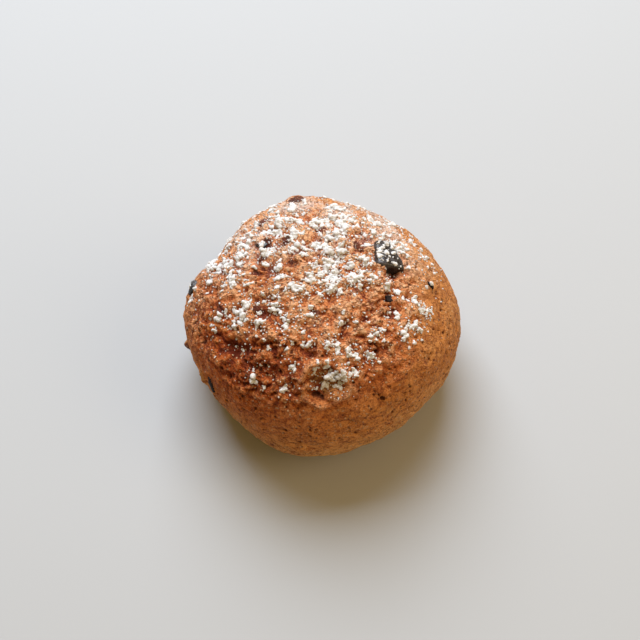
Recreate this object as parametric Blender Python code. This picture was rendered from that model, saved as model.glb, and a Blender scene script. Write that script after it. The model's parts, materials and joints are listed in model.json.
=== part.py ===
"""A round chocolate chunk scone, dusted with icing sugar, standing on its flat baked base.

Metres, +Z up. The origin is the middle of the base, where the scone stood on the tray. The front,
which is the side with the torn crust, faces -Y.

The dough is one solid. Its surface is worked out along rays from the heart, a point inside the scone
level with its widest ring: first the risen form, then its swells, lumps, crags and torn places, and
last the tray that stopped it below. Lumps of sugar are fused to the crust. Each chocolate chunk is a
solid of its own, in a pocket of the dough.
"""

import itertools
import math
import random

import bmesh
import bpy
from mathutils import Matrix, Vector, noise
from mathutils.bvhtree import BVHTree

# The risen form
WIDTH = 0.0780
DEPTH = 0.0780
HEIGHT = 0.0470
WIDEST_HEIGHT = 0.0170  # the widest ring stands this far above the tray
DOME_FULLNESS = 2.30  # exponent of the dome's profile: 2 is an ellipse, more is boxier
SKIRT_REACH = 0.0215  # how far below the widest ring the dough would hang without the tray
SKIRT_FULLNESS = 2.05
BASE_EDGE_SOFTNESS = 0.0012  # the skirt turns under into the base over this height
HEART = Vector((0.0, 0.0, WIDEST_HEIGHT))

# The crust's relief: each wave length, and how high its bumps stand
SWELL_LENGTH = 0.0240
SWELL_HEIGHT = 0.0009
LUMP_LENGTH = 0.0095
LUMP_HEIGHT = 0.0009
CRAG_LENGTH = 0.0046
CRAG_HEIGHT = 0.0010
CRAG_STRETCH = Vector((0.6, 1.0, 1.15))  # the crags run longer from side to side
SKIRT_CRAGS = 0.25  # the skirt's crags as a share of the crown's
CROWN_MIDDLE = (-150, 80)  # azimuth and elevation of the middle of the rough crown
CROWN_FULL = 46.0  # degrees from its middle out to which the crown is rough, and where it has ended
CROWN_ENDS = 68.0

# Where the risen form is fuller or slacker, and what tore or bubbled as it baked. Each row holds
# azimuth and elevation in degrees, half length and half width, the turn of the length from level in
# degrees, and the height, which is below zero for a hollow.
SWELLS = (
    (-55, -5, 0.030, 0.028, 0, -0.0026),  # slack sides on the right and left of the front
    (-141, -6, 0.032, 0.026, 0, -0.0032),
    (52, 22, 0.024, 0.022, 0, -0.0012),  # a flatter back on the right
    (148, 16, 0.016, 0.018, 0, -0.0020),  # a hollow and two shoulders at the back on the left
    (164, 13, 0.009, 0.010, 0, 0.0008),
    (98, 27, 0.013, 0.011, 0, 0.0013),
    (5, 2, 0.018, 0.016, 0, 0.0006),
)
MARKS = (
    (-85, 32, 0.0036, 0.0017, 20, 0.0015),  # the torn flap inside the burst bubble at the front
    (-153, 5, 0.0045, 0.0018, -43, 0.0009),  # the flap beside the split in the left side
    (-143, 36, 0.0165, 0.0034, 33, -0.0010),  # the fold under the rough crown, and the ledge over it
    (-147, 43, 0.0150, 0.0036, 33, 0.0004),
    (128, 44, 0.0032, 0.0028, 0, 0.0012),  # knobs at the back
    (103, 28, 0.0034, 0.0026, 0, 0.0009),
    (-177, -6, 0.0024, 0.0018, 0, 0.0018),  # a nub on the left
    (-68, 60, 0.0036, 0.0028, 20, -0.0010),  # small hollows over the crown
    (162, 75, 0.0046, 0.0026, -30, -0.0009),
    (-147, 55, 0.0034, 0.0024, 0, -0.0010),
    (-176, 59, 0.0036, 0.0022, 20, -0.0008),
    (-74, 75, 0.0040, 0.0026, 0, -0.0008),
    (-100, 3, 0.0070, 0.0020, 0, 0.0009),  # the ragged ledge low at the front
    (-79, 12, 0.0050, 0.0022, -20, -0.0006),
)

# Burst bubbles and splits: hollows with steep walls. Each row holds azimuth and elevation, half length
# and half width, the turn of the length, the depth, and how high the torn rim stands.
CRATERS = (
    (-89, 37, 0.0062, 0.0057, 0, 0.0011, 0.0010),  # the burst bubble at the front
    (-147, 8, 0.0034, 0.0015, -48, 0.0015, 0.0003),  # the split in the left side
    (11, 54, 0.0036, 0.0022, 10, 0.0020, 0.0001),  # the hollow in front of the crown's chunk
)
CRATER_WALL = 0.55  # where the wall starts to rise, as a share of the way out
RIM_WIDTH = 0.22
RIM_WANDER = 0.0007  # how far a crater's outline strays, over what length
RIM_WANDER_LENGTH = 0.0040
RIM_WANDER_SEED = 1795488335

# Chocolate chunks: name, azimuth and elevation in degrees, size along the crust, up it and into it,
# turn in degrees, how far the chunk stands out of the crust, and how much narrower its upper end is
CHUNKS = (
    ("chunk_crown", 25, 54, (0.0086, 0.0090, 0.0052), -107, 0.0014, 0.38),
    ("chunk_rim", 168, 17, (0.0040, 0.0034, 0.0030), 10, 0.0004, 0.15),
    ("chunk_split", -147, 8, (0.0024, 0.0052, 0.0036), 42, 0.0018, 0.10),
    ("chunk_back", 144, 52, (0.0034, 0.0030, 0.0030), -15, 0.0003, 0.20),
    ("chunk_crumb_front", -18, 55, (0.0022, 0.0018, 0.0020), 30, 0.0004, 0.15),
    ("chunk_crumb_right", 3, 37, (0.0014, 0.0028, 0.0020), -10, 0.0003, 0.30),
)
# Sugar on the chunks: each lump's place as shares of the half size, and its radius
CHUNK_SUGAR = {
    "chunk_crown": (
        (0.1, 0.72, 0.0009),
        (0.4, 0.45, 0.0008),
        (-0.6, 0.0, 0.0008),
        (-0.1, -0.10, 0.0009),
        (0.4, -0.05, 0.0008),
    ),
    "chunk_back": ((0.1, 0.2, 0.0009),),
}
CHUNK_GAP = 0.0003  # between a chunk and the dough that holds it
CHUNK_ROUNDING = 0.13  # bevel and knocked corners, as shares of a chunk's smallest side
CHUNK_JITTER = 0.12
CHUNK_SEED = 5

# Lumps of icing sugar that the sieve let through. They lie in the heaps, given as azimuth and elevation
# in degrees and half length, and then in seeded places, fewer the farther they are from SUGAR_MIDDLE.
SUGAR_HEAPS = (
    (114, 43, 0.0042),
    (127, 51, 0.0022),
    (74, 53, 0.0032),
    (66, 53, 0.0024),
    (68, 61, 0.0026),
    (56, 77, 0.0025),
    (162, 29, 0.0025),
    (-43, 86, 0.0022),
    (161, 45, 0.0022),
    (148, 48, 0.0023),
    (142, 40, 0.0015),
    (134, 48, 0.0015),
    (56, 44, 0.0020),
    (77, 67, 0.0018),
    (22, 64, 0.0018),
    (18, 72, 0.0014),
    (150, 58, 0.0016),
    (49, 32, 0.0017),
    (31, 46, 0.0015),
    (-3, 73, 0.0014),
    (127, 68, 0.0012),
    (95, 57, 0.0014),
    (-162, 49, 0.0014),
    (30, 80, 0.0014),
    (-155, 46, 0.0014),
    (-69, 43, 0.0014),
    (-84, 38, 0.0026),
    (-142, 76, 0.0015),
    (-177, 66, 0.0013),
    (-178, 46, 0.0013),
    (-160, 73, 0.0012),
    (-8, 69, 0.0013),
    (-120, 57, 0.0011),
    (-106, 64, 0.0011),
    (-31, 42, 0.0014),
    (-140, 59, 0.0011),
    (-108, 32, 0.0011),
    (-125, 30, 0.0012),
    (-51, 51, 0.0013),
    (-14, 43, 0.0012),
    (-88, 53, 0.0013),
    (-72, 48, 0.0013),
    (-163, 37, 0.0012),
    (-99, 46, 0.0011),
)
HEAP_SPACING = 0.0011  # a heap has one lump for each square of this half length
HEAP_SIZES = (0.65, 1.0)  # of its lumps, as shares of the largest radius
SUGAR_LUMPS = 118
SUGAR_SEED = 21
SUGAR_RADIUS = (0.00065, 0.0013)
SUGAR_FLATNESS = 0.6
SUGAR_UNEVENNESS = (0.85, 1.2)  # how far a lump's corners stand from its middle, in radii
SUGAR_SHOWING = 0.6  # share of a lump's height that stands out of the crust
SUGAR_SPACING = 0.85  # least distance between two lumps, in radii
SUGAR_CLEARANCE = 0.0010  # between a lump and the nearest chunk
SUGAR_MIDDLE = (112, 74)
SUGAR_PATCH_LENGTH = 0.0080
SUGAR_FULL = 42.0  # degrees from the middle out to which the sugar is thick, and where the last of it lies
SUGAR_ENDS = 78.0

# Where the sieve missed: as for the marks, with the share that is missing
SUGAR_MISSED = (
    (158, 75, 0.0064, 0.0050, 0, 1.0),
    (84, 34, 0.0062, 0.0034, 0, 1.0),
    (-100, 48, 0.0046, 0.0034, 0, 1.0),
    (-78, 67, 0.0052, 0.0040, 0, 1.0),
    (178, 57, 0.0044, 0.0036, 0, 1.0),
    (-130, 66, 0.0036, 0.0030, 0, 1.0),
    (-16, 59, 0.0040, 0.0034, 0, 1.0),
    (-171, 46, 0.0036, 0.0030, 0, 1.0),
    (10, 26, 0.0050, 0.0040, 0, 1.0),
    (-95, 61, 0.0075, 0.0040, 0, 0.7),
    (-31, 62, 0.0040, 0.0030, 0, 1.0),
    (-2, 53, 0.0034, 0.0026, 0, 1.0),
    (109, 66, 0.0030, 0.0026, 0, 1.0),
)
MOSTLY_MISSED = 0.3  # no lump lies where more than this share is missing

GRID_CELLS = 21  # squares along each side of the cube that becomes the dough's surface
CRATER_REFINEMENT = 2  # how often those squares are halved again over a crater

CRUST_COLOUR = (0.420, 0.190, 0.070, 1.0)
CHOCOLATE_COLOUR = (0.020, 0.012, 0.010, 1.0)


# ---- the crust as a function of direction ----


def ray(azimuth, elevation):
    """The direction from the heart, for an azimuth from +X and an elevation, both in degrees."""
    around, up = math.radians(azimuth), math.radians(elevation)
    return Vector((math.cos(around) * math.cos(up), math.sin(around) * math.cos(up), math.sin(up)))


def risen_reach(direction):
    """How far the plain risen form lies from the heart."""
    across = math.hypot(direction.x / (WIDTH / 2), direction.y / (DEPTH / 2))
    if direction.z > 0:
        fullness, drop = DOME_FULLNESS, direction.z / (HEIGHT - WIDEST_HEIGHT)
    else:
        fullness, drop = SKIRT_FULLNESS, -direction.z / SKIRT_REACH
    return (across**fullness + drop**fullness) ** (-1 / fullness)


def risen_point(direction):
    return HEART + direction * risen_reach(direction)


def ramp(value, start, full):
    """0 up to start, 1 from full, and smooth between them."""
    share = min(1.0, max(0.0, (value - start) / (full - start)))
    return share * share * (3 - 2 * share)


class Mark:
    """A smooth oval bump, or a dent where its height is below zero, at one place on the risen form."""

    def __init__(self, azimuth, elevation, half_length, half_width, turn, height):
        outward = ray(azimuth, elevation)
        self.place = risen_point(outward)
        level = Vector((0, 0, 1)).cross(outward).normalized()
        uphill = outward.cross(level)
        angle = math.radians(turn)
        self.along = (level * math.cos(angle) + uphill * math.sin(angle)) / half_length
        self.across = (uphill * math.cos(angle) - level * math.sin(angle)) / half_width
        self.outward = outward / max(half_length, half_width)
        self.height = height

    def far(self, point):
        """How far out the point lies: 0 in the middle and 1 at the oval's edge."""
        offset = point - self.place
        return math.hypot(offset.dot(self.along), offset.dot(self.across), offset.dot(self.outward))

    def lift(self, point):
        far = self.far(point)
        return self.height * (1 - far * far) ** 2 if far < 1 else 0.0


class Crater(Mark):
    """A hollow with steep walls, a level floor, a straying outline and a torn rim round it."""

    def __init__(self, azimuth, elevation, half_length, half_width, turn, depth, rim):
        super().__init__(azimuth, elevation, half_length, half_width, turn, -depth)
        self.rim = rim

    def lift(self, point):
        far = self.far(point + noise.noise_vector(point / RIM_WANDER_LENGTH) * RIM_WANDER)
        wall = 1 - ramp(far, CRATER_WALL, 1.0)
        lip = max(0.0, 1 - ((far - 1) / RIM_WIDTH) ** 2)
        return self.height * wall + self.rim * lip * lip


noise.seed_set(RIM_WANDER_SEED)  # unseeded, the rims would stray another way in each run
swells = [Mark(*row) for row in SWELLS]
marks = [Mark(*row) for row in MARKS]
craters = [Crater(*row) for row in CRATERS]
missed_places = [Mark(*row) for row in SUGAR_MISSED]


def relief(direction, point):
    """How far the relief and the marks lift the crust at this place."""
    away = math.degrees(direction.angle(ray(*CROWN_MIDDLE)))
    roughness = SKIRT_CRAGS + (1 - SKIRT_CRAGS) * (1 - ramp(away, CROWN_FULL, CROWN_ENDS))
    lift = SWELL_HEIGHT * noise.noise(point / SWELL_LENGTH)
    lift += LUMP_HEIGHT * (0.5 + 0.5 * roughness) * noise.fractal(point / LUMP_LENGTH, 1.0, 2.0, 2)
    crag = noise.ridged_multi_fractal(point * CRAG_STRETCH / CRAG_LENGTH, 1.0, 2.0, 2, 1.0, 1.5)
    lift += CRAG_HEIGHT * roughness * (crag - 1.0)
    return lift + sum(mark.lift(point) for mark in (*marks, *craters))


def stopped_by_tray(height):
    """The height of the crust over the tray: none where the dough would hang below it."""
    over = max(0.0, height + BASE_EDGE_SOFTNESS)
    return max(height, over * over / (4 * BASE_EDGE_SOFTNESS)) if height < BASE_EDGE_SOFTNESS else height


def crust_point(direction):
    """The point of the crust that lies along this unit direction from the heart."""
    point = risen_point(direction)
    reach = risen_reach(direction) + sum(swell.lift(point) for swell in swells)
    crust = HEART + direction * (reach + relief(direction, point))
    crust.z = stopped_by_tray(crust.z)
    return crust


def risen_normal(direction):
    """The risen form's outward normal, from two points a little to each side of the ray."""
    step = 0.02
    level = direction.orthogonal().normalized()
    other = direction.cross(level)
    ends = [risen_point((direction + side * step).normalized()) for side in (level, -level, other, -other)]
    return (ends[0] - ends[1]).cross(ends[2] - ends[3]).normalized()


# ---- objects ----


def clear_scene():
    for leftover in list(bpy.data.objects):
        bpy.data.objects.remove(leftover)


def plain_material(name, colour, roughness):
    material = bpy.data.materials.new(name)
    material.use_nodes = True
    shader = material.node_tree.nodes["Principled BSDF"]
    shader.inputs["Base Color"].default_value = colour
    shader.inputs["Roughness"].default_value = roughness
    return material


def object_from(name, form, material=None, collection=None):
    """Turns a bmesh into an object, in the scene unless another collection is given."""
    mesh = bpy.data.meshes.new(name)
    form.to_mesh(mesh)
    form.free()
    made = bpy.data.objects.new(name, mesh)
    (collection or bpy.context.scene.collection).objects.link(made)
    if material:
        mesh.materials.append(material)
    return made


def dough_form():
    """The crust as an even grid: a cube's squares, finer over the craters, pushed out along their rays."""
    form = bmesh.new()
    bmesh.ops.create_cube(form, size=2.0)
    bmesh.ops.subdivide_edges(form, edges=form.edges[:], cuts=GRID_CELLS - 1, use_grid_fill=True)
    for vertex in form.verts:
        vertex.co = Vector([math.tan(math.pi / 4 * part) for part in vertex.co]).normalized()
    for _ in range(CRATER_REFINEMENT):
        near = [face for face in form.faces if over_crater(face.calc_center_median().normalized())]
        edges = {edge for face in near for edge in face.edges}
        bmesh.ops.subdivide_edges(form, edges=list(edges), cuts=1, use_grid_fill=True)
    for vertex in form.verts:
        vertex.co = crust_point(vertex.co.normalized())
    return form


def over_crater(direction):
    return any(crater.far(risen_point(direction)) < 1 + RIM_WIDTH for crater in craters)


def chunk_place(row):
    """The matrix of a chunk: its X and Y lie along the crust, and its Z points out of it."""
    _, azimuth, elevation, size, turn, stands_out, _ = row
    direction = ray(azimuth, elevation)
    outward = risen_normal(direction)
    level = Vector((0, 0, 1)).cross(outward).normalized()
    frame = Matrix((level, outward.cross(level), outward)).transposed().to_4x4()
    middle = crust_point(direction) + outward * (stands_out - size[2] / 2)
    return Matrix.Translation(middle) @ frame @ Matrix.Rotation(math.radians(turn), 4, "Z")


def chunk_form(size, taper, seed, swell=0.0):
    """A broken block of chocolate: tapered, its corners knocked about and its edges rounded."""
    draw = random.Random(seed)
    jitter, rounding = CHUNK_JITTER * min(size), CHUNK_ROUNDING * min(size)
    form = bmesh.new()
    bmesh.ops.create_cube(form, size=1.0)
    for vertex in form.verts:
        vertex.co.x *= 1 - taper * (0.5 + vertex.co.y)
        vertex.co = Vector([part * side for part, side in zip(vertex.co, size)])
        vertex.co += Vector([draw.uniform(-jitter, jitter) for _ in range(3)])
    bmesh.ops.triangulate(form, faces=form.faces[:])
    bmesh.ops.bevel(form, geom=form.edges[:], offset=rounding, segments=2, affect="EDGES", profile=0.5)
    form.normal_update()
    for vertex in form.verts:
        vertex.co += vertex.normal * swell
    return form


def make_chunk(row, seed, chocolate, cutters):
    """One chunk with the sugar on it, and the slightly larger copy of it that cuts its pocket."""
    name, size, taper, place = row[0], row[3], row[-1], chunk_place(row)
    chunk = object_from(name, chunk_form(size, taper, seed), chocolate)
    chunk.data.transform(place)
    cutter = object_from(name + "_pocket", chunk_form(size, taper, seed, CHUNK_GAP), None, cutters)
    cutter.data.transform(place)
    if name in CHUNK_SUGAR:
        lumps = helper_collection(name + "_sugar")
        draw = random.Random(seed)
        outward = place.to_3x3().col[2]
        for along, up, radius in CHUNK_SUGAR[name]:
            spot = place @ Vector((along * size[0] / 2, up * size[1] / 2, size[2] / 2))
            object_from("lump", sugar_lump(spot, outward, radius, draw), None, lumps)
        apply_boolean(chunk, lumps, "UNION")
    chunk.data.shade_smooth()


def heap_spots(draw):
    """Where the heaps' lumps lie: pairs of a direction and a radius."""
    for azimuth, elevation, half_length in SUGAR_HEAPS:
        middle = ray(azimuth, elevation)
        for _ in range(round((half_length / HEAP_SPACING) ** 2)):
            aside = Vector([draw.uniform(-1, 1) for _ in range(3)]) * half_length / risen_reach(middle)
            radius = SUGAR_RADIUS[1] * draw.uniform(*HEAP_SIZES)
            yield (middle + aside).normalized(), radius


def missed(point):
    """How much of the sugar is missing here: 0 for none and 1 for all."""
    return min(1.0, sum(mark.lift(point) for mark in missed_places))


def sugar_share(direction, point):
    """How thickly the sugar lies: thickest round its middle, and in patches."""
    patch = ramp(noise.noise(point / SUGAR_PATCH_LENGTH), -0.5, 0.5)
    away = math.degrees(direction.angle(ray(*SUGAR_MIDDLE)))
    return (0.3 + 0.7 * patch) * (1 - ramp(away, SUGAR_FULL, SUGAR_ENDS)) * (1 - missed(point))


def scattered_spots(draw):
    """Directions and radii of the other lumps, without end."""
    while True:
        up = draw.uniform(0.0, 1.0)
        around, flat = draw.uniform(0, 2 * math.pi), math.sqrt(1 - up * up)
        direction = Vector((flat * math.cos(around), flat * math.sin(around), up))
        if draw.random() < sugar_share(direction, risen_point(direction)):
            yield direction, draw.uniform(*SUGAR_RADIUS)


def sugar_spots():
    """The lumps that have room: each keeps clear of the chunks and of the lumps before it."""
    draw = random.Random(SUGAR_SEED)
    kept = []
    kept_out = [(crust_point(ray(row[1], row[2])), max(row[3][:2]) / 2) for row in CHUNKS]
    for direction, radius in itertools.chain(heap_spots(draw), scattered_spots(draw)):
        place = crust_point(direction)
        free = all((place - middle).length > half + radius + SUGAR_CLEARANCE for middle, half in kept_out)
        apart = all((place - other).length > SUGAR_SPACING * (radius + size) for other, _, size in kept)
        if free and apart and missed(risen_point(direction)) < MOSTLY_MISSED:
            kept.append((place, direction, radius))
        if len(kept) == SUGAR_LUMPS:
            return [(direction, radius) for _, direction, radius in kept]


def sugar_lump(place, outward, radius, draw):
    """A flattened, uneven lump that stands on the surface at this place."""
    form = bmesh.new()
    bmesh.ops.create_icosphere(form, subdivisions=1, radius=radius)
    for vertex in form.verts:
        vertex.co *= draw.uniform(*SUGAR_UNEVENNESS)
        vertex.co.z *= SUGAR_FLATNESS
    upright = outward.to_track_quat("Z", "Y").to_matrix().to_4x4()
    turned = Matrix.Rotation(draw.uniform(0, 2 * math.pi), 4, "Z")
    middle = place + outward * radius * SUGAR_FLATNESS * (2 * SUGAR_SHOWING - 1)
    form.transform(Matrix.Translation(middle) @ upright @ turned)
    return form


def apply_boolean(target, collection, operation):
    """Joins a collection's objects to the target, or cuts them from it, and removes them."""
    modifier = target.modifiers.new(operation.lower(), "BOOLEAN")
    modifier.operation = operation
    modifier.operand_type = "COLLECTION"
    modifier.collection = collection
    modifier.solver = "MANIFOLD"
    graph = bpy.context.evaluated_depsgraph_get()
    done = bpy.data.meshes.new_from_object(target.evaluated_get(graph))
    target.modifiers.clear()
    target.data = done
    for helper in list(collection.objects):
        bpy.data.objects.remove(helper)
    bpy.data.collections.remove(collection)


def helper_collection(name):
    collection = bpy.data.collections.new(name)
    bpy.context.scene.collection.children.link(collection)
    return collection


def merge_base(dough):
    """The base is flat, so its many small faces become one."""
    form = bmesh.new()
    form.from_mesh(dough.data)
    level = [face for face in form.faces if all(vertex.co.z == 0.0 for vertex in face.verts)]
    bmesh.ops.dissolve_faces(form, faces=level, use_verts=True)
    form.to_mesh(dough.data)
    form.free()


def make_scone():
    baked = plain_material("baked_crust", CRUST_COLOUR, 0.75)
    chocolate = plain_material("dark_chocolate", CHOCOLATE_COLOUR, 0.25)
    dough = object_from("scone", dough_form(), baked)
    merge_base(dough)
    crust = BVHTree.FromObject(dough, bpy.context.evaluated_depsgraph_get())
    lumps = helper_collection("sugar")
    draw = random.Random(SUGAR_SEED + 1)
    for direction, radius in sugar_spots():
        place, outward, _, _ = crust.ray_cast(HEART, direction)
        object_from("lump", sugar_lump(place, outward, radius, draw), None, lumps)
    apply_boolean(dough, lumps, "UNION")
    cutters = helper_collection("pockets")
    for number, row in enumerate(CHUNKS):
        make_chunk(row, CHUNK_SEED + number, chocolate, cutters)
    apply_boolean(dough, cutters, "DIFFERENCE")
    dough.data.shade_smooth()


clear_scene()
make_scone()
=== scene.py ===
import itertools
import json
import math
import random

import bmesh
import bpy
from mathutils import Matrix, Vector, kdtree, noise
from mathutils.bvhtree import BVHTree

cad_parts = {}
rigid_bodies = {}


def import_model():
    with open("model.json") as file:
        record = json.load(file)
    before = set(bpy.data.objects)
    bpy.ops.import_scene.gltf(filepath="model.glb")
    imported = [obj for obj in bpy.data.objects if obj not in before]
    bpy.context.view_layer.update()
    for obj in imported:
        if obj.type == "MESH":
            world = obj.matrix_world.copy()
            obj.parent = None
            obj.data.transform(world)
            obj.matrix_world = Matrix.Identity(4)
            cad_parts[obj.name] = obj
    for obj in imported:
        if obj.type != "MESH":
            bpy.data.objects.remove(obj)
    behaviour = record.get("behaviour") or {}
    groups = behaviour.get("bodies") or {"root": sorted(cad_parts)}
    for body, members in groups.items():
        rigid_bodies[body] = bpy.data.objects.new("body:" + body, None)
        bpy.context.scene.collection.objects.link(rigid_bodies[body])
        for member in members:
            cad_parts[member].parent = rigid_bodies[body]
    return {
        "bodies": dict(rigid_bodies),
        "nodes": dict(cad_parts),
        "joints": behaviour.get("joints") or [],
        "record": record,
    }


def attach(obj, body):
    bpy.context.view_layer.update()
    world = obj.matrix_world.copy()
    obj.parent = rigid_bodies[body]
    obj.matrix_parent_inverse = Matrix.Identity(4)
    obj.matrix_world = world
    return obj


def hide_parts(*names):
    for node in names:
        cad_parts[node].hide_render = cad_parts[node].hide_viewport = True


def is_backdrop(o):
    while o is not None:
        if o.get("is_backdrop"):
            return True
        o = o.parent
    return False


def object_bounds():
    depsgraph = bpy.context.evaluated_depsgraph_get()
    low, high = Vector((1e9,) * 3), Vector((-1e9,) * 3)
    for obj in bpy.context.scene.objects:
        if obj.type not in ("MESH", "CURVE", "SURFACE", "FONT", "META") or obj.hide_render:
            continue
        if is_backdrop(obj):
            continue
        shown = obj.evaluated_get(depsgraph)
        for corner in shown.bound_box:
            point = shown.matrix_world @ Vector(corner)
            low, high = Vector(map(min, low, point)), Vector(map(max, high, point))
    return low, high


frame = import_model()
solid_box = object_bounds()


# ---- The baked dough ----
# A round of risen dough, baked on a tray until its top broke into crags and its skirt set smooth and
# brown. It is one solid, worked out along rays from its heart: the risen form, its swells, lumps,
# crags and torn places, and the tray below.

WIDTH = 0.0780
DEPTH = 0.0780
HEIGHT = 0.0470
WIDEST_HEIGHT = 0.0170  # the widest ring stands this far above the tray
DOME_FULLNESS = 2.30  # exponent of the dome's profile: 2 is an ellipse, more is boxier
SKIRT_REACH = 0.0215  # how far below the widest ring the dough would hang without the tray
SKIRT_FULLNESS = 2.05
BASE_EDGE_SOFTNESS = 0.0012  # the skirt turns under into the base over this height
HEART = Vector((0.0, 0.0, WIDEST_HEIGHT))

# The crust's relief: each wave length, and how high its bumps stand
SWELL_LENGTH = 0.0240
SWELL_HEIGHT = 0.0009
LUMP_LENGTH = 0.0095
LUMP_HEIGHT = 0.0009
CRAG_LENGTH = 0.0046
CRAG_HEIGHT = 0.0010
CRAG_STRETCH = Vector((0.6, 1.0, 1.15))  # the crags run longer from side to side
SKIRT_CRAGS = 0.25  # the skirt's crags as a share of the crown's
CROWN_MIDDLE = (-150, 80)  # azimuth and elevation of the middle of the rough crown
CROWN_FULL = 46.0  # degrees from its middle out to which the crown is rough, and where it has ended
CROWN_ENDS = 68.0

# Where the risen form is fuller or slacker, and what tore or bubbled as it baked. Each row holds
# azimuth and elevation in degrees, half length and half width, the turn of the length from level in
# degrees, and the height, which is below zero for a hollow.
SWELLS = (
    (-55, -5, 0.030, 0.028, 0, -0.0026),  # slack sides on the right and left of the front
    (-141, -6, 0.032, 0.026, 0, -0.0032),
    (52, 22, 0.024, 0.022, 0, -0.0012),  # a flatter back on the right
    (148, 16, 0.016, 0.018, 0, -0.0020),  # a hollow and two shoulders at the back on the left
    (164, 13, 0.009, 0.010, 0, 0.0008),
    (98, 27, 0.013, 0.011, 0, 0.0013),
    (5, 2, 0.018, 0.016, 0, 0.0006),
)
MARKS = (
    (-85, 32, 0.0036, 0.0017, 20, 0.0015),  # the torn flap inside the burst bubble at the front
    (-153, 5, 0.0045, 0.0018, -43, 0.0009),  # the flap beside the split in the left side
    (-143, 36, 0.0165, 0.0034, 33, -0.0010),  # the fold under the rough crown, and the ledge over it
    (-147, 43, 0.0150, 0.0036, 33, 0.0004),
    (128, 44, 0.0032, 0.0028, 0, 0.0012),  # knobs at the back
    (103, 28, 0.0034, 0.0026, 0, 0.0009),
    (-177, -6, 0.0024, 0.0018, 0, 0.0018),  # a nub on the left
    (-68, 60, 0.0036, 0.0028, 20, -0.0010),  # small hollows over the crown
    (162, 75, 0.0046, 0.0026, -30, -0.0009),
    (-147, 55, 0.0034, 0.0024, 0, -0.0010),
    (-176, 59, 0.0036, 0.0022, 20, -0.0008),
    (-74, 75, 0.0040, 0.0026, 0, -0.0008),
    (-100, 3, 0.0070, 0.0020, 0, 0.0009),  # the ragged ledge low at the front
    (-79, 12, 0.0050, 0.0022, -20, -0.0006),
)

# Burst bubbles and splits: hollows with steep walls. Each row holds azimuth and elevation, half length
# and half width, the turn of the length, the depth, and how high the torn rim stands.
CRATERS = (
    (-89, 37, 0.0062, 0.0057, 0, 0.0011, 0.0010),  # the burst bubble at the front
    (-147, 8, 0.0034, 0.0015, -48, 0.0015, 0.0003),  # the split in the left side
    (11, 54, 0.0036, 0.0022, 10, 0.0020, 0.0001),  # the hollow in front of the crown's chunk
)
CRATER_WALL = 0.55  # where the wall starts to rise, as a share of the way out
RIM_WIDTH = 0.22
RIM_WANDER = 0.0007  # how far a crater's outline strays, over what length
RIM_WANDER_LENGTH = 0.0040
RIM_WANDER_SEED = 1795488335

# The crust's finer relief, which the eye sees only close to: each wave length and height, and the
# level of its noise that leaves the crust where it is
FLAKE_LENGTH = 0.0020
FLAKE_HEIGHT = 0.00056
FLAKE_LEVEL = 0.9
FLAKE_WARP = 0.0010  # how far the flakes, knobs and grains are pushed out of their even pattern
KNOB_LENGTH = 0.0025
KNOB_HEIGHT = 0.00125
KNOB_LEVEL = 0.35
GRAIN_LENGTH = 0.0009
GRAIN_HEIGHT = 0.00022
SKIRT_FLAKES = 0.18  # the skirt's finer relief as a share of the crown's
TORN_FLAKES = 0.7  # the least of it where the crust tore open
EVENNESS_LENGTH = 0.0110  # some of the crown rose smooth and some broke up, over this length
EVENNESS_RANGE = (-0.35, 0.35)  # of its noise
SMOOTHEST = 0.65  # the finer relief's share where it rose smoothest
BREAK_UP = 0.55  # what is added to that share where it broke up most

# Where the side is crumbly too, below the crown: as for the marks, with the roughness that is added
CRUMBLY = (
    (-177, 20, 0.0240, 0.0180, 0, 0.75),
    (-132, 22, 0.0300, 0.0140, 0, 0.40),
)

# Steam holes: large ones, as azimuth, elevation, radius and depth, and small ones all over the sides
STEAM_HOLES = (
    (-94, 32, 0.0008, 0.0012),
    (-92, 32, 0.0009, 0.0014),
    (-90, 31, 0.0007, 0.0012),
    (-62, 25, 0.0009, 0.0013),
    (-123, 38, 0.0009, 0.0014),
    (-151, 21, 0.0007, 0.0010),
    (-143, 24, 0.0007, 0.0010),
    (-136, 8, 0.0007, 0.0009),
    (-128, 19, 0.0006, 0.0009),
    (-120, 18, 0.0006, 0.0008),
    (-55, 44, 0.0007, 0.0010),
    (-48, 23, 0.0006, 0.0009),
    (-83, 10, 0.0006, 0.0007),
    (-79, 13, 0.0005, 0.0006),
    (-76, 11, 0.0007, 0.0008),
    (-74, 4, 0.0006, 0.0006),
)
SMALL_HOLES = 520
SMALL_HOLE_RADIUS = (0.00035, 0.00070)
SMALL_HOLE_DEPTH = 1.1  # as a share of its radius
SMALL_HOLE_HEIGHTS = (-0.35, 0.8)  # lowest and highest, as the upward part of the hole's direction
HOLE_SEED = 8

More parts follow.
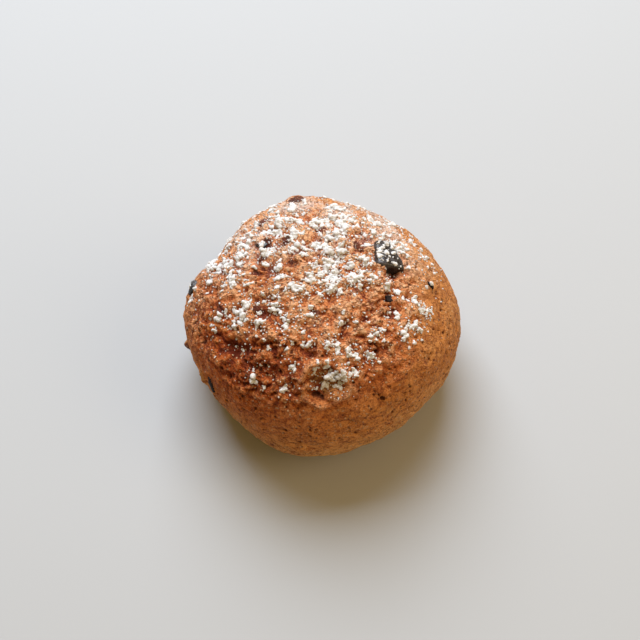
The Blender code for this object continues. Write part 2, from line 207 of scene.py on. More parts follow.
# Where the crust baked redder and darker, and where it was singed: as for the marks, with the share of
# the darker colour
BAKED = (
    (-149, 19, 0.0430, 0.0320, 0, 0.85),
    (-102, 38, 0.0340, 0.0220, 0, 0.5),
    (-52, 36, 0.0150, 0.0120, 0, 0.6),
    (-158, 33, 0.0100, 0.0080, 0, 0.5),
)
SINGED = (
    (127, 42, 0.0034, 0.0026, 0, 1.2),
    (127, 62, 0.0040, 0.0020, 0, 1.2),
    (141, 54, 0.0024, 0.0024, 0, 1.2),
    (158, 57, 0.0044, 0.0030, 0, 0.7),
    (151, 73, 0.0040, 0.0026, 0, 0.7),
    (103, 32, 0.0040, 0.0024, 0, 1.2),
    (91, 61, 0.0026, 0.0016, 0, 1.1),
    (149, 43, 0.0024, 0.0014, 0, 1.1),
    (173, 56, 0.0024, 0.0022, 0, 0.8),
    (-167, 39, 0.0040, 0.0024, 0, 0.8),
    (-151, 54, 0.0050, 0.0026, 0, 0.7),
    (-99, 68, 0.0038, 0.0020, 0, 0.7),
    (77, 44, 0.0024, 0.0014, 0, 1.0),
    (44, 64, 0.0036, 0.0028, 0, 0.8),
    (-175, -6, 0.0030, 0.0024, 0, 1.0),
    (-95, 52, 0.0060, 0.0024, 20, 0.5),
    (-120, 50, 0.0050, 0.0020, -15, 0.5),
)

# Where the crust tore open on the paler crumb under it
TORN_OPEN = (
    (-89, 37, 0.0066, 0.0060, 0, 0.8),
    (-153, 5, 0.0044, 0.0020, -43, 0.8),
)

GRID_CELLS = 128  # squares along each side of the cube that becomes the crust's surface
CROWN_CROWDING = 0.36  # how much finer the grid is on the crown than below


def ray(azimuth, elevation):
    around, up = math.radians(azimuth), math.radians(elevation)
    return Vector((math.cos(around) * math.cos(up), math.sin(around) * math.cos(up), math.sin(up)))


def risen_reach(direction):
    """How far the plain risen form lies from the heart."""
    across = math.hypot(direction.x / (WIDTH / 2), direction.y / (DEPTH / 2))
    if direction.z > 0:
        fullness, drop = DOME_FULLNESS, direction.z / (HEIGHT - WIDEST_HEIGHT)
    else:
        fullness, drop = SKIRT_FULLNESS, -direction.z / SKIRT_REACH
    return (across**fullness + drop**fullness) ** (-1 / fullness)


def risen_point(direction):
    return HEART + direction * risen_reach(direction)


def ramp(value, start, full):
    """0 up to start, 1 from full, and smooth between them."""
    share = min(1.0, max(0.0, (value - start) / (full - start)))
    return share * share * (3 - 2 * share)


class Mark:
    """A smooth oval bump, or a dent where its height is below zero, at one place on the risen form."""

    def __init__(self, azimuth, elevation, half_length, half_width, turn, height):
        outward = ray(azimuth, elevation)
        self.place = risen_point(outward)
        level = Vector((0, 0, 1)).cross(outward).normalized()
        uphill = outward.cross(level)
        angle = math.radians(turn)
        self.along = (level * math.cos(angle) + uphill * math.sin(angle)) / half_length
        self.across = (uphill * math.cos(angle) - level * math.sin(angle)) / half_width
        self.outward = outward / max(half_length, half_width)
        self.height = height

    def far(self, point):
        """How far out the point lies: 0 in the middle and 1 at the oval's edge."""
        offset = point - self.place
        return math.hypot(offset.dot(self.along), offset.dot(self.across), offset.dot(self.outward))

    def lift(self, point):
        far = self.far(point)
        return self.height * (1 - far * far) ** 2 if far < 1 else 0.0


class Crater(Mark):
    """A hollow with steep walls, a level floor, a straying outline and a torn rim round it."""

    def __init__(self, azimuth, elevation, half_length, half_width, turn, depth, rim):
        super().__init__(azimuth, elevation, half_length, half_width, turn, -depth)
        self.rim = rim

    def lift(self, point):
        far = self.far(point + noise.noise_vector(point / RIM_WANDER_LENGTH) * RIM_WANDER)
        wall = 1 - ramp(far, CRATER_WALL, 1.0)
        lip = max(0.0, 1 - ((far - 1) / RIM_WIDTH) ** 2)
        return self.height * wall + self.rim * lip * lip


noise.seed_set(RIM_WANDER_SEED)  # unseeded, the rims and flakes would stray another way in each run
swells = [Mark(*row) for row in SWELLS]
marks = [Mark(*row) for row in MARKS]
craters = [Crater(*row) for row in CRATERS]
baked = [Mark(*row) for row in BAKED]
singed = [Mark(*row) for row in SINGED]
torn_open = [Mark(*row) for row in TORN_OPEN]
crumbly = [Mark(*row) for row in CRUMBLY]


def roughness_of(direction):
    """0 on the smooth skirt and 1 on the rough crown."""
    return 1 - ramp(math.degrees(direction.angle(ray(*CROWN_MIDDLE))), CROWN_FULL, CROWN_ENDS)


def relief(direction, point):
    """How far the lumps, the crags and the marks lift the crust, in that order."""
    roughness = SKIRT_CRAGS + (1 - SKIRT_CRAGS) * roughness_of(direction)
    lumps = SWELL_HEIGHT * noise.noise(point / SWELL_LENGTH)
    lumps += LUMP_HEIGHT * (0.5 + 0.5 * roughness) * noise.fractal(point / LUMP_LENGTH, 1.0, 2.0, 2)
    crag = noise.ridged_multi_fractal(point * CRAG_STRETCH / CRAG_LENGTH, 1.0, 2.0, 2, 1.0, 1.5)
    torn = sum(mark.lift(point) for mark in (*marks, *craters))
    return lumps, CRAG_HEIGHT * roughness * (crag - 1.0), torn


def stopped_by_tray(height):
    """The height of the crust over the tray: none where the dough would hang below it."""
    over = max(0.0, height + BASE_EDGE_SOFTNESS)
    return max(height, over * over / (4 * BASE_EDGE_SOFTNESS)) if height < BASE_EDGE_SOFTNESS else height


def crust_point(direction, finer=0.0):
    """The point of the crust that lies along this unit direction from the heart."""
    point = risen_point(direction)
    reach = risen_reach(direction) + sum(swell.lift(point) for swell in swells)
    crust = HEART + direction * (reach + sum(relief(direction, point)) + finer)
    crust.z = stopped_by_tray(crust.z)
    return crust


def steam_holes():
    """Directions, radii and depths of the steam holes: the large ones, then seeded ones over the sides."""
    draw = random.Random(HOLE_SEED)
    for azimuth, elevation, radius, depth in STEAM_HOLES:
        yield ray(azimuth, elevation), radius, depth
    for _ in range(SMALL_HOLES):
        up = draw.uniform(*SMALL_HOLE_HEIGHTS)
        around, flat = draw.uniform(0, 2 * math.pi), math.sqrt(1 - up * up)
        direction = Vector((flat * math.cos(around), flat * math.sin(around), up))
        radius = draw.uniform(*SMALL_HOLE_RADIUS)
        yield direction, radius, radius * SMALL_HOLE_DEPTH


holes = list(steam_holes())
hole_tree = kdtree.KDTree(len(holes))
for number, (direction, _, _) in enumerate(holes):
    hole_tree.insert(risen_point(direction), number)
hole_tree.balance()
widest_hole = max(radius for _, radius, _ in holes)


def hole_depth(point):
    """How far the steam holes sink the crust here."""
    deepest = 0.0
    for _, number, far in hole_tree.find_range(point, widest_hole):
        _, radius, depth = holes[number]
        share = far / radius
        if share < 1:
            deepest = max(deepest, depth * (1 - share * share) ** 2)
    return deepest


def crumbliness(direction, point):
    """0 where the crust set smooth and 1 where it broke into crumbs."""
    return min(1.0, roughness_of(direction) + sum(mark.lift(point) for mark in crumbly))


def fine_relief(direction, point):
    """The flakes, knobs and grains that lie over the crags."""
    opened = sum(mark.lift(point) for mark in torn_open)
    roughness = SKIRT_FLAKES + (1 - SKIRT_FLAKES) * crumbliness(direction, point)
    warped = point + noise.noise_vector(point / (2 * FLAKE_LENGTH)) * FLAKE_WARP
    flake = noise.ridged_multi_fractal(warped * CRAG_STRETCH / FLAKE_LENGTH, 1.0, 2.0, 2, 1.0, 1.6)
    knob = noise.turbulence(warped / KNOB_LENGTH, 2, True)
    grain = noise.fractal(warped / GRAIN_LENGTH, 1.0, 2.0, 2)
    lift = FLAKE_HEIGHT * (flake - FLAKE_LEVEL) + KNOB_HEIGHT * (knob - KNOB_LEVEL) + GRAIN_HEIGHT * grain
    broken = SMOOTHEST + BREAK_UP * ramp(noise.noise(point / EVENNESS_LENGTH), *EVENNESS_RANGE)
    return max(roughness * broken, TORN_FLAKES * opened) * lift


class Value:
    """A socket of a finish's nodes. Arithmetic on values adds the Math nodes that work it out."""

    def __init__(self, finish, socket):
        self.finish = finish
        self.socket = socket

    def maths(self, operation, *others):
        values = {number: value for number, value in enumerate((self, *others))}
        return self.finish.node("Math", {"operation": operation}, values)

    def __add__(self, other):
        return self.maths("ADD", other)

    def __sub__(self, other):
        return self.maths("SUBTRACT", other)

    def __rsub__(self, other):
        return self.finish.node("Math", {"operation": "SUBTRACT"}, {0: other, 1: self})

    def __mul__(self, other):
        return self.maths("MULTIPLY", other)

    __radd__ = __add__
    __rmul__ = __mul__

    def ramp(self, start, full):
        """0 up to start, 1 from full, and smooth between them."""
        settings = {"interpolation_type": "SMOOTHSTEP"}
        return self.finish.node("MapRange", settings, {"Value": self, "From Min": start, "From Max": full})

    def scaled(self, scale):
        """A vector value, with each of its parts times its own number."""
        return self.finish.node("VectorMath", {"operation": "MULTIPLY"}, {0: self, 1: scale}, "Vector")


class Finish:
    """A material whose nodes are added one by one. What is the same all over goes on its own socket."""

    def __init__(self, name, **constants):
        self.material = bpy.data.materials.new(name)
        self.material.use_nodes = True
        self.tree = self.material.node_tree
        self.shader = self.tree.nodes["Principled BSDF"]
        for socket, value in constants.items():
            self.shader.inputs[socket.replace("_", " ")].default_value = value

    def node(self, kind, settings=None, sockets=None, out=0):
        """Adds a node and returns one of its outputs. Settings go first, as they can change sockets."""
        made = self.tree.nodes.new("ShaderNode" + kind)
        for key, value in (settings or {}).items():
            setattr(made, key, value)
        for key, value in (sockets or {}).items():
            self.join(made.inputs[key], value)
        return Value(self, made.outputs[out])

    def join(self, socket, value):
        if isinstance(value, Value):
            self.tree.links.new(value.socket, socket)
        elif socket.type == "RGBA" and len(value) == 3:
            socket.default_value = (*value, 1.0)
        else:
            socket.default_value = value

    def place(self):
        return self.node("TexCoord", out="Object")

    def noise(self, place, length, detail=3.0, roughness=0.5, distortion=0.0):
        sockets = {"Vector": place, "Scale": 1 / length, "Detail": detail, "Roughness": roughness}
        sockets["Distortion"] = distortion
        return self.node("TexNoise", {}, sockets, "Fac")

    def cells(self, place, spacing, **settings):
        """How far each place is from the middle of its cell, or from the cell's edge."""
        return self.node("TexVoronoi", settings, {"Vector": place, "Scale": 1 / spacing}, "Distance")

    def attribute(self, name):
        return self.node("Attribute", {"attribute_name": name}, {}, "Fac")

    def colours(self, share, first, second, how="MIX"):
        """The first colour where the share is 0, blended into the second where it is 1."""
        settings = {"data_type": "RGBA", "blend_type": how, "clamp_factor": True}
        made = self.tree.nodes.new("ShaderNodeMix")
        for key, value in settings.items():
            setattr(made, key, value)
        self.join(made.inputs[0], share)
        self.join(made.inputs[6], first)
        self.join(made.inputs[7], second)
        return Value(self, made.outputs[2])

    def bumps(self, height, distance, strength=1.0):
        sockets = {"Height": height, "Distance": distance, "Strength": strength}
        return self.node("Bump", {}, sockets, "Normal")

    def ends(self, **sockets):
        """Joins values to the finish's own sockets, and returns its material."""
        for socket, value in sockets.items():
            self.join(self.shader.inputs[socket.replace("_", " ")], value)
        return self.material


def mesh_from(name, form):
    """Turns a bmesh into a mesh."""
    mesh = bpy.data.meshes.new(name)
    form.to_mesh(mesh)
    form.free()
    return mesh


def piece_from(name, mesh, material, slot, *stands_for):
    """Makes a mesh a piece of the scone, which may stand for solids of the frame."""
    mesh.materials.clear()
    mesh.materials.append(material)
    mesh.shade_smooth()
    piece = bpy.data.objects.new(name, mesh)
    bpy.context.scene.collection.objects.link(piece)
    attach(piece, "root")
    if stands_for:
        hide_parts(*stands_for)
    return piece


# How thickly the sugar lies, which the crust's finish needs for its film of dust and painted sheen
SUGAR_MIDDLE = (112, 74)
SUGAR_PATCH_LENGTH = 0.0080
SUGAR_PATCH_RANGE = (-0.5, 0.5)  # of its noise
THINNEST = 0.3  # the sugar between the patches, as a share of that in them
SUGAR_FULL = 42.0  # degrees from the middle out to which the sugar is thick, and where the last of it lies
SUGAR_ENDS = 78.0

# Where the sieve missed: as for the marks, with the share that is missing
SUGAR_MISSED = (
    (158, 75, 0.0064, 0.0050, 0, 1.0),
    (84, 34, 0.0062, 0.0034, 0, 1.0),
    (-100, 48, 0.0046, 0.0034, 0, 1.0),
    (-78, 67, 0.0052, 0.0040, 0, 1.0),
    (178, 57, 0.0044, 0.0036, 0, 1.0),
    (-130, 66, 0.0036, 0.0030, 0, 1.0),
    (-16, 59, 0.0040, 0.0034, 0, 1.0),
    (-171, 46, 0.0036, 0.0030, 0, 1.0),
    (10, 26, 0.0050, 0.0040, 0, 1.0),
    (-95, 61, 0.0075, 0.0040, 0, 0.7),
    (-31, 62, 0.0040, 0.0030, 0, 1.0),
    (-2, 53, 0.0034, 0.0026, 0, 1.0),
    (109, 66, 0.0030, 0.0026, 0, 1.0),
)
MOSTLY_MISSED = 0.3  # no lump lies where more than this share is missing
missed_places = [Mark(*row) for row in SUGAR_MISSED]


def missed(point):
    """How much of the sugar is missing here: 0 for none and 1 for all."""
    return min(1.0, sum(mark.lift(point) for mark in missed_places))


def sugar_share(direction, point):
    """How thickly the sugar lies: thickest round its middle, and in patches."""
    patch = ramp(noise.noise(point / SUGAR_PATCH_LENGTH), *SUGAR_PATCH_RANGE)
    away = math.degrees(direction.angle(ray(*SUGAR_MIDDLE)))
    thickness = THINNEST + (1 - THINNEST) * patch
    return thickness * (1 - ramp(away, SUGAR_FULL, SUGAR_ENDS)) * (1 - missed(point))


CRUST_KNOWS = ("lift", "rough", "hole", "dusted", "baked", "singed", "torn")
# The lift darkens the crust in its hollows and lightens it on its tops: partly painted shade
LUMPS_IN_LIFT = 0.4  # how much the lumps and the fine relief count in the lift that colours the crust
FINE_IN_LIFT = 1.6
MILLIMETRES = 1000


def crust_form():
    """The crust's fine grid, and at each of its points what the finish needs to know about it."""
    form = bmesh.new()
    bmesh.ops.create_cube(form, size=2.0)
    bmesh.ops.subdivide_edges(form, edges=form.edges[:], cuts=GRID_CELLS - 1, use_grid_fill=True)
    layers = [form.verts.layers.float.new(name) for name in CRUST_KNOWS]
    for vertex in form.verts:
        even = Vector([math.tan(math.pi / 4 * part) for part in vertex.co]).normalized()
        direction = (even + Vector((0, 0, CROWN_CROWDING))).normalized()
        point = risen_point(direction)
        fine, hole = fine_relief(direction, point), hole_depth(point)
        lumps, crags, torn = relief(direction, point)
        vertex.co = crust_point(direction, fine - hole)
        known = (
            (LUMPS_IN_LIFT * lumps + crags + torn + FINE_IN_LIFT * fine) * MILLIMETRES,
            crumbliness(direction, point),
            hole * MILLIMETRES,
            sugar_share(direction, point),
            min(1.0, sum(mark.lift(point) for mark in baked)),
            sum(mark.lift(point) for mark in singed),
            sum(mark.lift(point) for mark in torn_open),
        )
        for layer, value in zip(layers, known):
            vertex[layer] = value
    return form


# The crust's colours
CROWN_COLOURS = (0.215, 0.038, 0.013), (0.700, 0.220, 0.060), (0.930, 0.505, 0.258)  # deep, brown and tan
SKIRT_SHADE = (0.290, 0.074, 0.018)
SKIRT_SKIN = (0.810, 0.316, 0.076)
SKIRT_PALE = (0.900, 0.430, 0.142)
FOOT_TAN = (0.950, 0.590, 0.240)
BAKED_TINT = (0.810, 0.530, 0.275)  # multiplies what lies under it
TORN_CRUMB = (0.620, 0.340, 0.110)
# The film is sugar dust and painted sheen
SUGAR_FILM_AND_SHEEN = (0.860, 0.780, 0.700)
# Painted shade in the fine creases and cracks
CREASE_SHADE = (0.260, 0.040, 0.014)
CRACK_SHADE = (0.210, 0.028, 0.010)
CHAR_COLOURS = (0.060, 0.012, 0.008), (0.200, 0.032, 0.016)
CRUMB_FLECK = (0.900, 0.640, 0.390)
# Painted shade in the pits and steam holes
PIT_SHADE = (0.110, 0.026, 0.010)
HOLE_SHADE = (0.100, 0.024, 0.009)

# The finish's patterns: how long their grains, fibres, patches and flecks are
GRAIN_SIZE = 0.0008
FIBRE_SIZE = 0.0019
FIBRE_STRETCH = (0.7, 1.0, 1.1)
PATCH_SIZE = 0.008
DUST_SIZE = 0.00045
CREASE_SIZE = 0.0022
CREASE_WIDTH = 0.035  # as a share of the noise's whole range
PLATE_SIZE = 0.0031  # the crust cracks into plates of this size
PLATE_STRAY = 0.0034  # how far the cracks stray, over what length
PLATE_STRAY_LENGTH = 0.0018
PIT_SPACING = 0.0017
FLECK_SPACING = 0.0012
CRUST_BUMP = 0.0012  # how high the patterns stand


class Patterns:
    """The patterns of the crust's finish, each from 0 to 1 over its surface."""

    def __init__(self, finish):
        place = finish.place()
        self.grain = finish.noise(place, GRAIN_SIZE, 5.0, 0.7)
        self.fibre = finish.noise(place.scaled(FIBRE_STRETCH), FIBRE_SIZE, 5.0, 0.62, 0.8)
        self.patch = finish.noise(place, PATCH_SIZE, 4.0, 0.55)
        self.dust = finish.noise(place, DUST_SIZE, 3.0, 0.6)
        winding = finish.noise(place, CREASE_SIZE, 3.0, 0.55, 0.6) - 0.5
        self.crease = 1 - winding.maths("ABSOLUTE").ramp(0.0, CREASE_WIDTH)

        sockets = {"Vector": place, "Scale": 1 / PLATE_STRAY_LENGTH, "Detail": 5.0}
        stray = finish.node("TexNoise", {}, sockets, "Color")
        sockets = {0: stray, 1: [PLATE_STRAY] * 3, 2: place}
        strayed = finish.node("VectorMath", {"operation": "MULTIPLY_ADD"}, sockets, "Vector")
        edges = finish.cells(strayed, PLATE_SIZE, feature="DISTANCE_TO_EDGE")
        self.crack = (1 - edges.ramp(0.0, 0.13)) * (self.grain + self.fibre + self.patch).ramp(1.40, 1.70)
        self.pit = (1 - finish.cells(place, PIT_SPACING).ramp(0.12, 0.28)) * self.grain.ramp(0.40, 0.54)
        self.fleck = (1 - finish.cells(place, FLECK_SPACING).ramp(0.15, 0.30)) * self.fibre.ramp(0.40, 0.55)

        parts = [finish.node("SeparateXYZ", {}, {0: place}, part) for part in "XYZ"]
        # right and behind carry painted light: the crust is made paler towards the fill on the right and
        # the window behind
        self.right, self.behind, self.height = parts[0].ramp(0.004, 0.036), parts[1], parts[2]


def crown_colour(finish, seen, lift, rough):
    """Brown crags: deep in their hollows and tan on their tops, partly as painted shade, and paler behind
    and on the right as painted light from the window and the fill.
    """
    # The lift makes the hollows deep and the tops tan: partly painted shade
    tone = lift * 0.60 * (0.35 + 0.65 * rough) + (seen.grain - 0.5) * 1.3 + (seen.fibre - 0.5) * 2.2
    tone = tone + (seen.patch - 0.5) * 0.8 + (seen.dust - 0.5) * 1.5 + 0.74
    # Painted light: paler behind, where the crown faces the window, and on the right, which faces the fill
    tone = tone + seen.behind.ramp(-0.030, 0.030) * 0.30 + seen.right * 0.12
    deep, brown, tan = CROWN_COLOURS
    return finish.colours(tone.ramp(0.45, 1.25), finish.colours(tone.ramp(-0.12, 0.62), deep, brown), tan)


def skirt_colour(finish, seen):
    """A smooth orange skin with darker fibres, paler low down, paler on the right as painted light, and tan
    near its foot.
    """
    skirt = finish.colours((seen.dust * 0.4 + seen.fibre * 0.6).ramp(0.32, 0.58), SKIRT_SHADE, SKIRT_SKIN)
    # Painted light: the right side, which faces the fill, is made paler
    low = (1 - seen.height.ramp(0.004, 0.016)) * 0.35 + seen.right * 0.10
    paler = seen.patch + (seen.grain - 0.5) * 0.5 + (seen.fibre - 0.5) * 0.5 + low
    skirt = finish.colours(paler.ramp(0.50, 1.05), skirt, SKIRT_PALE)
    foot = (1 - seen.height.ramp(0.009, 0.027)) * (seen.fibre * 0.6 + seen.dust * 0.4).ramp(0.38, 0.56)
    return finish.colours(foot * 0.60, skirt, FOOT_TAN)


def crust_finish():
    finish = Finish("baked_crust", Specular_IOR_Level=0.25)
    lift, rough, hole, dusted, dark, singed, torn = (finish.attribute(name) for name in CRUST_KNOWS)
    seen = Patterns(finish)

    colour = finish.colours(rough, skirt_colour(finish, seen), crown_colour(finish, seen, lift, rough))
    colour = finish.colours(dark, colour, BAKED_TINT, "MULTIPLY")
    colour = finish.colours(torn * seen.fibre.ramp(0.36, 0.60), colour, TORN_CRUMB)

    # A pale film: sugar dust, and painted sheen on the back of the crown, which faces the window
    film_and_sheen = (seen.dust + dusted * 0.30 + (seen.patch - 0.5) * 0.4).ramp(0.57, 0.80)
    film_and_sheen = film_and_sheen * seen.behind.ramp(-0.004, 0.026) * dusted.ramp(0.0, 0.15)
    colour = finish.colours(film_and_sheen * 0.6, colour, SUGAR_FILM_AND_SHEEN)

    # Painted shade: the creases and cracks, which the bump dents, are darkened
    colour = finish.colours(seen.crease * (0.25 + 0.40 * rough), colour, CREASE_SHADE)
    colour = finish.colours(seen.crack * rough * 0.9, colour, CRACK_SHADE)
    burnt = (singed + (seen.grain - 0.5) * 1.2 + (seen.fibre - 0.5) * 1.2).ramp(0.38, 0.54)
    char = finish.colours(seen.fibre.ramp(0.42, 0.62), *CHAR_COLOURS)
    colour = finish.colours(burnt * 0.9, colour, char)
    colour = finish.colours(seen.fleck * (0.5 + 0.4 * rough), colour, CRUMB_FLECK)
    # Painted shade: the pits and the steam holes are darkened inside
    colour = finish.colours(seen.pit * 0.7, colour, PIT_SHADE)
    colour = finish.colours(hole.ramp(0.05, 0.5) * 0.9, colour, HOLE_SHADE)

    height = seen.grain * 0.8 + seen.fibre * 1.0 + seen.dust * 0.35 - seen.crease * 0.25
    height = height - seen.crack * rough * 0.40 - seen.pit * 0.45 + seen.fleck * 0.30
    normal = finish.bumps(height, CRUST_BUMP, 1.0)
    return finish.ends(Base_Color=colour, Roughness=0.66 + seen.grain * 0.25, Normal=normal)


crust = piece_from("baked_crust", mesh_from("baked_crust", crust_form()), crust_finish(), "crust", "scone")


# ---- The chocolate chunks ----
# Broken bits of dark chocolate that were folded into the dough and came to its surface as it rose.
# Baking dulled them, rounded their edges and left a bloom of cocoa butter and sugar on their flats.

# Each chunk's name, azimuth and elevation in degrees, size along the crust, up it and into it, turn in
# degrees, how far it stands out of the crust, and how much narrower its upper end is
CHUNKS = (
    ("chunk_crown", 25, 54, (0.0086, 0.0090, 0.0052), -107, 0.0014, 0.38),
    ("chunk_rim", 168, 17, (0.0040, 0.0034, 0.0030), 10, 0.0004, 0.15),
    ("chunk_split", -147, 8, (0.0024, 0.0052, 0.0036), 42, 0.0018, 0.10),
    ("chunk_back", 144, 52, (0.0034, 0.0030, 0.0030), -15, 0.0003, 0.20),
    ("chunk_crumb_front", -18, 55, (0.0022, 0.0018, 0.0020), 30, 0.0004, 0.15),
    ("chunk_crumb_right", 3, 37, (0.0014, 0.0028, 0.0020), -10, 0.0003, 0.30),
)
CHUNK_ROUNDING = 0.13  # bevel and knocked corners, as shares of a chunk's smallest side
CHUNK_JITTER = 0.12
CHUNK_SEED = 5
CHUNK_CUTS = 2  # each edge is cut this often, and the surface rounded this much between the cuts
CHUNK_SMOOTHNESS = 0.6
CHUNK_RIPPLE = 0.00010  # how high the ripples of melting stand, and over what length
CHUNK_RIPPLE_LENGTH = 0.0022

CHOCOLATE = (0.016, 0.010, 0.009)
CHOCOLATE_BLOOM = (0.120, 0.110, 0.112)
BLOOM_SIZE = 0.0016
SPECKLE_SIZE = 0.0003
DIMPLE_SIZE = 0.0012
CHOCOLATE_BUMP = 0.00018
MELTED = ("chunk_split", "chunk_crumb_front", "chunk_crumb_right")  # the duller ones


def risen_normal(direction):
    """The risen form's outward normal, from points a little to each side of the ray."""
    step = 0.02
    level = direction.orthogonal().normalized()
    other = direction.cross(level)
    ends = [risen_point((direction + side * step).normalized()) for side in (level, -level, other, -other)]
    return (ends[0] - ends[1]).cross(ends[2] - ends[3]).normalized()


def chunk_place(row):
    """The matrix of a chunk: its X and Y lie along the crust, and its Z points out of it."""
    _, azimuth, elevation, size, turn, stands_out, _ = row
    direction = ray(azimuth, elevation)
    outward = risen_normal(direction)
    level = Vector((0, 0, 1)).cross(outward).normalized()
    frame = Matrix((level, outward.cross(level), outward)).transposed().to_4x4()
    middle = crust_point(direction) + outward * (stands_out - size[2] / 2)
    return Matrix.Translation(middle) @ frame @ Matrix.Rotation(math.radians(turn), 4, "Z")


def chunk_form(size, taper, seed):
    """A broken block of chocolate: tapered, its corners knocked about and its edges rounded."""
    draw = random.Random(seed)
    jitter, rounding = CHUNK_JITTER * min(size), CHUNK_ROUNDING * min(size)
    form = bmesh.new()
    bmesh.ops.create_cube(form, size=1.0)
    for vertex in form.verts:
        vertex.co.x *= 1 - taper * (0.5 + vertex.co.y)
        vertex.co = Vector([part * side for part, side in zip(vertex.co, size)])
        vertex.co += Vector([draw.uniform(-jitter, jitter) for _ in range(3)])
    bmesh.ops.triangulate(form, faces=form.faces[:])
    bmesh.ops.bevel(form, geom=form.edges[:], offset=rounding, segments=2, affect="EDGES", profile=0.5)
    return form


def chunk_finish(name, gloss, dullness):
    finish = Finish(name, Specular_IOR_Level=gloss)
    place = finish.place()
    bloom = finish.noise(place, BLOOM_SIZE, 5.0, 0.6).ramp(0.42, 0.72)
    dimples = finish.noise(place, DIMPLE_SIZE, 4.0, 0.55)
    speckle = finish.noise(place, SPECKLE_SIZE, 3.0, 0.6)
    colour = finish.colours(bloom * gloss, CHOCOLATE, CHOCOLATE_BLOOM)
    normal = finish.bumps(dimples + speckle * 0.15, CHOCOLATE_BUMP, 0.8)
    return finish.ends(Base_Color=colour, Roughness=dullness + bloom * 0.18, Normal=normal)


def chunk_piece(row, seed, material):
    """One chunk, with the ripples that melting left."""
    name, size, taper = row[0], row[3], row[-1]
    form = chunk_form(size, taper, seed)
    form.transform(chunk_place(row))
    bmesh.ops.subdivide_edges(
        form, edges=form.edges[:], cuts=CHUNK_CUTS, use_grid_fill=True, smooth=CHUNK_SMOOTHNESS
    )
    form.normal_update()
    for vertex in form.verts:
        vertex.co += vertex.normal * noise.noise(vertex.co / CHUNK_RIPPLE_LENGTH) * CHUNK_RIPPLE
    return piece_from(name + "_chocolate", mesh_from(name, form), material, "chocolate", name)


glossy = chunk_finish("dark_chocolate", 0.6, 0.26)
melted = chunk_finish("melted_chocolate", 0.15, 0.5)
chunks = []
for number, row in enumerate(CHUNKS):
    chunks.append(chunk_piece(row, CHUNK_SEED + number, melted if row[0] in MELTED else glossy))


# ---- The icing sugar ----
# Icing sugar sieved over the warm scone. Lumps that the sieve let through lie in heaps and patches on
# the crown, small bits and crumbs lie round them, and the finest dust, with painted sheen, is in the
# crust's own finish.

# Where the heaps of lumps lie: azimuth and elevation in degrees, and half length
SUGAR_HEAPS = (
    (114, 43, 0.0042),
    (127, 51, 0.0022),
    (74, 53, 0.0032),
    (66, 53, 0.0024),
    (68, 61, 0.0026),
    (56, 77, 0.0025),
    (162, 29, 0.0025),
    (-43, 86, 0.0022),
    (161, 45, 0.0022),
    (148, 48, 0.0023),
    (142, 40, 0.0015),
    (134, 48, 0.0015),
    (56, 44, 0.0020),
    (77, 67, 0.0018),
    (22, 64, 0.0018),
    (18, 72, 0.0014),
    (150, 58, 0.0016),
    (49, 32, 0.0017),
    (31, 46, 0.0015),
    (-3, 73, 0.0014),
    (127, 68, 0.0012),
    (95, 57, 0.0014),
    (-162, 49, 0.0014),
    (30, 80, 0.0014),
    (-155, 46, 0.0014),
    (-69, 43, 0.0014),
    (-84, 38, 0.0026),
    (-142, 76, 0.0015),
    (-177, 66, 0.0013),
    (-178, 46, 0.0013),
    (-160, 73, 0.0012),
    (-8, 69, 0.0013),
    (-120, 57, 0.0011),
    (-106, 64, 0.0011),
    (-31, 42, 0.0014),
    (-140, 59, 0.0011),
    (-108, 32, 0.0011),
    (-125, 30, 0.0012),
    (-51, 51, 0.0013),
    (-14, 43, 0.0012),
    (-88, 53, 0.0013),
    (-72, 48, 0.0013),
    (-163, 37, 0.0012),
    (-99, 46, 0.0011),
)
HEAP_SPACING = 0.0011  # a heap has one lump for each square of this half length
HEAP_SIZES = (0.65, 1.0)  # of its lumps, as shares of the largest radius
SUGAR_LUMPS = 118
SUGAR_SEED = 21
SUGAR_RADIUS = (0.00065, 0.0013)
SUGAR_SPACING = 0.85  # least distance between two lumps, in radii
SUGAR_CLEARANCE = 0.0010  # between a lump and the nearest chunk

# Sugar on the chunks: each lump's place as shares of the half size, and its radius
CHUNK_SUGAR = {
    "chunk_crown": (
        (0.1, 0.72, 0.0009),
        (0.4, 0.45, 0.0008),
        (-0.6, 0.0, 0.0008),
        (-0.1, -0.10, 0.0009),
        (0.4, -0.05, 0.0008),
    ),
    "chunk_back": ((0.1, 0.2, 0.0009),),
}

# A lump clots together from blobs
BLOBS = (7, 12)  # how many, and each one's radius as a share of the lump's
BLOB_SHARE = (0.30, 0.62)
BLOB_RISE = (-0.1, 0.6)  # how far its middle stands out of the crust, in its own radii
BLOB_STRETCH = (0.75, 1.3)  # how long it is each way, and how uneven its skin, both in radii
BLOB_UNEVENNESS = (0.92, 1.08)
BLOB_FINENESS = 2  # subdivisions of its ball, and of a crumb's
CRUMB_FINENESS = 1
LUMP_SPREAD = 0.40  # how widely the blobs scatter, in the lump's radii
LUMP_VOXEL = 0.00016  # the grain that the blobs melt into each other at, in lumps and in bits
BIT_VOXEL = 0.00018

